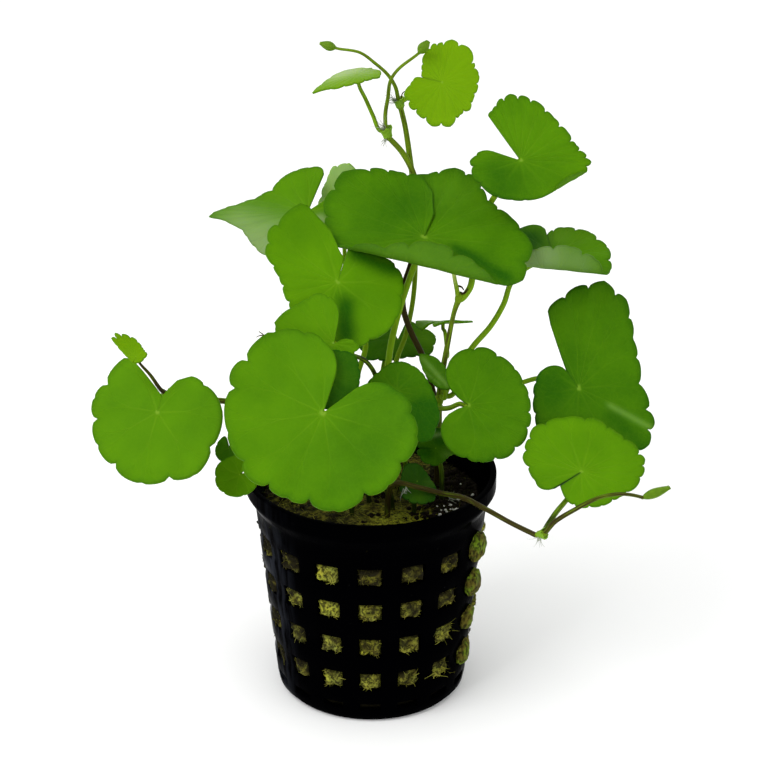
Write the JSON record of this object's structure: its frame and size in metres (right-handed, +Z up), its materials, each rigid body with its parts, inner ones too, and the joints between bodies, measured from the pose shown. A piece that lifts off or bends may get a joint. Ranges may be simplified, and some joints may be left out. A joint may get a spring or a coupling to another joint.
{
  "type": "brazilian pennywort",
  "caption": "Trailing water plant with round scalloped leaves on thin stalks, growing from rock wool in a small black net pot.",
  "frame": {"origin": "centre of the pot's flat underside", "axes": "+Z up along the pot's axis, -Y towards the plant's front, where its leaves lean"},
  "size_m": [0.112, 0.074, 0.1274],
  "materials": {
    "pot_plastic": "wet gloss black",
    "rock_wool": "matte damp mineral fibre",
    "leaf_green": "satin leaf with fine veins",
    "leaf_bright": "satin young leaf",
    "petiole_green": "satin translucent stalk",
    "stem_olive": "satin olive brown stem"
  },
  "bodies": {
    "root": {"net_pot": "pot_plastic", "rock_wool": "rock_wool", "blade_front": "leaf_green", "blade_left": "leaf_green", "blade_right_low": "leaf_green", "blade_right_mid": "leaf_green", "blade_right_big": "leaf_green", "blade_upper_left": "leaf_green", "blade_centre_top": "leaf_green", "blade_far_left": "leaf_green", "blade_far_right": "leaf_green", "blade_top_right": "leaf_green", "blade_mid_left": "leaf_green", "blade_notch_back": "leaf_green", "blade_crown_front": "leaf_green", "blade_crown_back": "leaf_green", "blade_fold_right": "leaf_green", "blade_pot_front": "leaf_green", "blade_pot_back": "leaf_green", "blade_low_left": "leaf_green", "blade_low_young": "leaf_green", "blade_edge_back": "leaf_green", "blade_top_bright": "leaf_bright", "blade_top_left": "leaf_bright", "blade_thin_back": "leaf_bright", "blade_young": "leaf_bright", "petiole_front": "petiole_green", "petiole_left": "petiole_green", "petiole_right_low": "petiole_green", "petiole_right_mid": "petiole_green", "petiole_right_big": "petiole_green", "petiole_upper_left": "petiole_green", "petiole_centre_top": "petiole_green", "petiole_far_left": "petiole_green", "petiole_far_right": "petiole_green", "petiole_top_right": "petiole_green", "petiole_top_bright": "petiole_green", "petiole_top_left": "petiole_green", "petiole_mid_left": "petiole_green", "petiole_notch_back": "petiole_green", "petiole_crown_front": "petiole_green", "petiole_crown_back": "petiole_green", "petiole_fold_right": "petiole_green", "petiole_pot_front": "petiole_green", "petiole_pot_back": "petiole_green", "petiole_low_left": "petiole_green", "petiole_low_young": "petiole_green", "petiole_edge_back": "petiole_green", "petiole_thin_back": "petiole_green", "stem_main": "stem_olive", "stem_sprig_back": "stem_olive", "stem_sprig_back_tip": "stem_olive", "stem_sprig_front": "stem_olive", "stem_sprig_front_tip": "stem_olive", "stem_runner_right": "stem_olive", "stem_runner_right_tip": "stem_olive", "stem_runner_left": "stem_olive", "stem_runner_left_tip": "stem_olive"}
  },
  "joints": []
}
